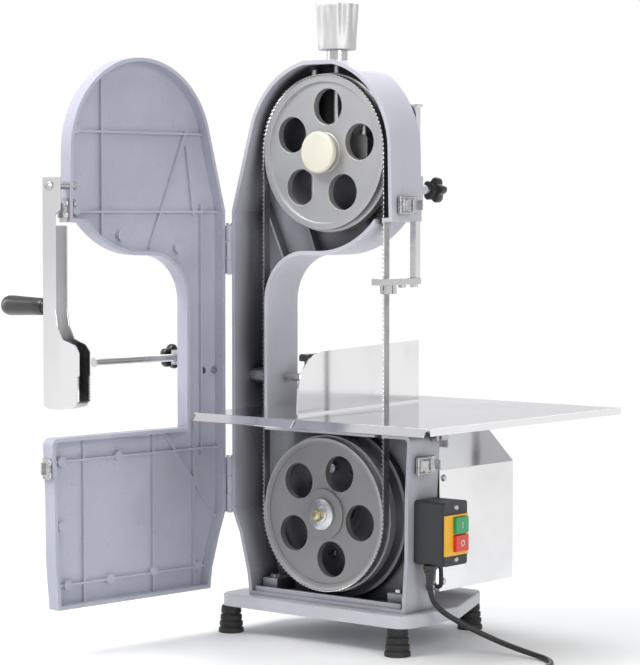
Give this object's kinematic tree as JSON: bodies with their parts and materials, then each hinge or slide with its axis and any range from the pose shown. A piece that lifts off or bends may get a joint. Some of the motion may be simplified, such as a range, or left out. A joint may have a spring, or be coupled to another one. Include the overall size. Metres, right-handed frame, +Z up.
{
  "type": "bone saw",
  "caption": "Bench-top butcher's band saw: open hinged door, upper and lower wheels, tilting pusher, fence, steel table, motor box and switch.",
  "frame": {"origin": "on the bench plane, under the wheel axes (X = 0) and in the plane of the blade's tooth tips (Y = 0)", "axes": "+X from the hinge side to the blade and switch side, +Y from the operator to the motor, +Z up"},
  "size_m": [0.7256, 0.5814, 0.873],
  "materials": {
    "casting_paint": "satin lavender-grey paint over cast aluminium",
    "door_paint": "satin blue-grey paint inside the door",
    "base_paint": "light grey paint",
    "upper_wheel_metal": "turned aluminium",
    "lower_wheel_metal": "turned and anodised, darker",
    "blade_steel": "bright band with ground teeth",
    "polished_sheet": "mirror polished stainless sheet",
    "machined_steel": "ground steel",
    "fastener_steel": "bright zinc",
    "yellow_zinc": "yellow passivated zinc",
    "cast_grey": "dark bare casting",
    "ivory_plastic": "ivory moulded cap",
    "knob_metal": "fluted satin aluminium",
    "black_plastic": "black moulded plastic",
    "black_rubber": "black rubber",
    "cable_jacket": "black flexible jacket",
    "switch_plastic": "charcoal moulded plastic",
    "yellow_plastic": "yellow surround",
    "green_plastic": "green button",
    "red_plastic": "red button"
  },
  "bodies": {
    "root": {"housing": "casting_paint", "base_plate": "base_paint", "blade": "blade_steel", "feet": "black_rubber", "guide_rods": "machined_steel", "tension_collar": "machined_steel", "motor_flange": "cast_grey", "motor_body": "cast_grey", "fan_cover": "black_plastic", "motor_bolts": "fastener_steel", "motor_cover": "polished_sheet", "table": "polished_sheet", "table_brackets": "machined_steel", "table_bolts": "fastener_steel", "fence_rod": "machined_steel", "post_clamp": "casting_paint", "small_screws": "fastener_steel", "latch_bases": "fastener_steel", "body_hinges": "casting_paint", "hinge_pins": "machined_steel", "switch_box": "switch_plastic", "switch_lid": "switch_plastic", "switch_bezel": "yellow_plastic", "cable_glands": "black_plastic", "motor_cable": "cable_jacket", "mains_cord": "cable_jacket", "cord_coil": "cable_jacket", "plug": "cable_jacket"},
    "door": {"door_shell": "door_paint", "door_keepers": "fastener_steel", "door_hinges": "door_paint", "door_bolts": "fastener_steel", "gauge_clamp": "casting_paint"},
    "pusher": {"pusher_channel": "polished_sheet", "pusher_handle": "black_plastic"},
    "gauge_rod_body": {"gauge_rod": "machined_steel"},
    "gauge_knob_body": {"gauge_knob": "black_plastic"},
    "tension_screw_body": {"tension_knob": "knob_metal", "tension_screw": "machined_steel"},
    "carriage": {"tension_carriage": "cast_grey", "upper_axle": "machined_steel"},
    "upper_wheel_body": {"upper_wheel": "upper_wheel_metal", "wheel_bearings": "machined_steel", "wheel_cap": "ivory_plastic"},
    "rotor": {"lower_wheel": "lower_wheel_metal", "motor_shaft": "machined_steel", "motor_fan": "black_plastic", "wheel_clamp_bolt": "yellow_zinc"},
    "guide_post_body": {"guide_post": "polished_sheet", "guide_arm": "machined_steel", "guide_blocks": "machined_steel"},
    "post_knob_body": {"post_knob": "black_plastic"},
    "fence_body": {"fence": "polished_sheet"},
    "fence_knob_body": {"fence_knob": "black_plastic"},
    "upper_lever": {"upper_latch_lever": "fastener_steel"},
    "upper_bail": {"upper_latch_bail": "fastener_steel"},
    "lower_lever": {"lower_latch_lever": "fastener_steel"},
    "lower_bail": {"lower_latch_bail": "fastener_steel"},
    "green_button_body": {"green_button": "green_plastic"},
    "red_button_body": {"red_button": "red_plastic"}
  },
  "joints": [
    {"name": "door_hinge", "type": "hinge", "parent": "root", "child": "door", "pos_m": [-0.16, -0.008, 0], "axis": [0, 0, 1], "range_deg": [-45, 94.5]},
    {"name": "pusher_swing", "type": "hinge", "parent": "door", "child": "pusher", "pos_m": [-0.19023, -0.31558, 0.6245], "axis": [-0.0785, -0.9969, 0], "range_deg": [-75, 20]},
    {"name": "gauge_slide", "type": "slide", "parent": "door", "child": "gauge_rod_body", "axis": [-0.0785, -0.9969, 0], "range_m": [-0.03, 0.02]},
    {"name": "gauge_knob_turn", "type": "hinge", "parent": "door", "child": "gauge_knob_body", "pos_m": [-0.21041, -0.06221, 0.387], "axis": [-0.9969, 0.0785, 0], "range_deg": [0, 180]},
    {"name": "tension_knob_turn", "type": "hinge", "parent": "root", "child": "tension_screw_body", "pos_m": [0, 0.035, 0], "axis": [0, 0, 1], "range_deg": [0, 1455]},
    {"name": "tension_slide", "type": "slide", "parent": "root", "child": "carriage", "axis": [0, 0, 1], "range_m": [-0.008, 0]},
    {"name": "upper_wheel_spin", "type": "hinge", "parent": "carriage", "child": "upper_wheel_body", "pos_m": [0, 0, 0.67048], "axis": [0, 1, 0], "continuous": true},
    {"name": "lower_wheel_spin", "type": "hinge", "parent": "root", "child": "rotor", "pos_m": [0, 0, 0.1762], "axis": [0, 1, 0], "continuous": true},
    {"name": "guide_height", "type": "slide", "parent": "root", "child": "guide_post_body", "axis": [0, 0, 1], "range_m": [-0.07, 0.05]},
    {"name": "post_knob_turn", "type": "hinge", "parent": "root", "child": "post_knob_body", "pos_m": [0.113, 0.101, 0.62], "axis": [0, 1, 0], "range_deg": [0, 180]},
    {"name": "fence_slide", "type": "slide", "parent": "root", "child": "fence_body", "axis": [1, 0, 0], "range_m": [-0.025, 0.035]},
    {"name": "fence_knob_turn", "type": "hinge", "parent": "fence_body", "child": "fence_knob_body", "pos_m": [-0.046, 0.032, 0.38], "axis": [0, 0, 1], "range_deg": [0, 180]},
    {"name": "upper_lever_swing", "type": "hinge", "parent": "root", "child": "upper_lever", "pos_m": [0.1345, 0.01, 0.599], "axis": [0, 0, 1], "range_deg": [-150, 0]},
    {"name": "upper_bail_swing", "type": "hinge", "parent": "upper_lever", "child": "upper_bail", "pos_m": [0.1372, 0.028, 0.599], "axis": [0, 0, 1], "range_deg": [0, 150]},
    {"name": "lower_lever_swing", "type": "hinge", "parent": "root", "child": "lower_lever", "pos_m": [0.1652, 0.01, 0.253], "axis": [0, 0, 1], "range_deg": [-150, 0]},
    {"name": "lower_bail_swing", "type": "hinge", "parent": "lower_lever", "child": "lower_bail", "pos_m": [0.1679, 0.028, 0.253], "axis": [0, 0, 1], "range_deg": [0, 150]},
    {"name": "green_press", "type": "slide", "parent": "root", "child": "green_button_body", "axis": [-1, 0, 0], "range_m": [0, 0.003], "stiffness_N_per_m": 400, "springref_m": -0.0005},
    {"name": "red_press", "type": "slide", "parent": "root", "child": "red_button_body", "axis": [-1, 0, 0], "range_m": [0, 0.003], "stiffness_N_per_m": 400, "springref_m": -0.0005}
  ],
  "couplings": [
    {"joint": "tension_knob_turn", "follows": "tension_slide", "rad_per_m": -3141.6},
    {"joint": "upper_wheel_spin", "follows": "lower_wheel_spin", "ratio": 1},
    {"joint": "upper_bail_swing", "follows": "upper_lever_swing", "ratio": -1},
    {"joint": "lower_bail_swing", "follows": "lower_lever_swing", "ratio": -1}
  ]
}
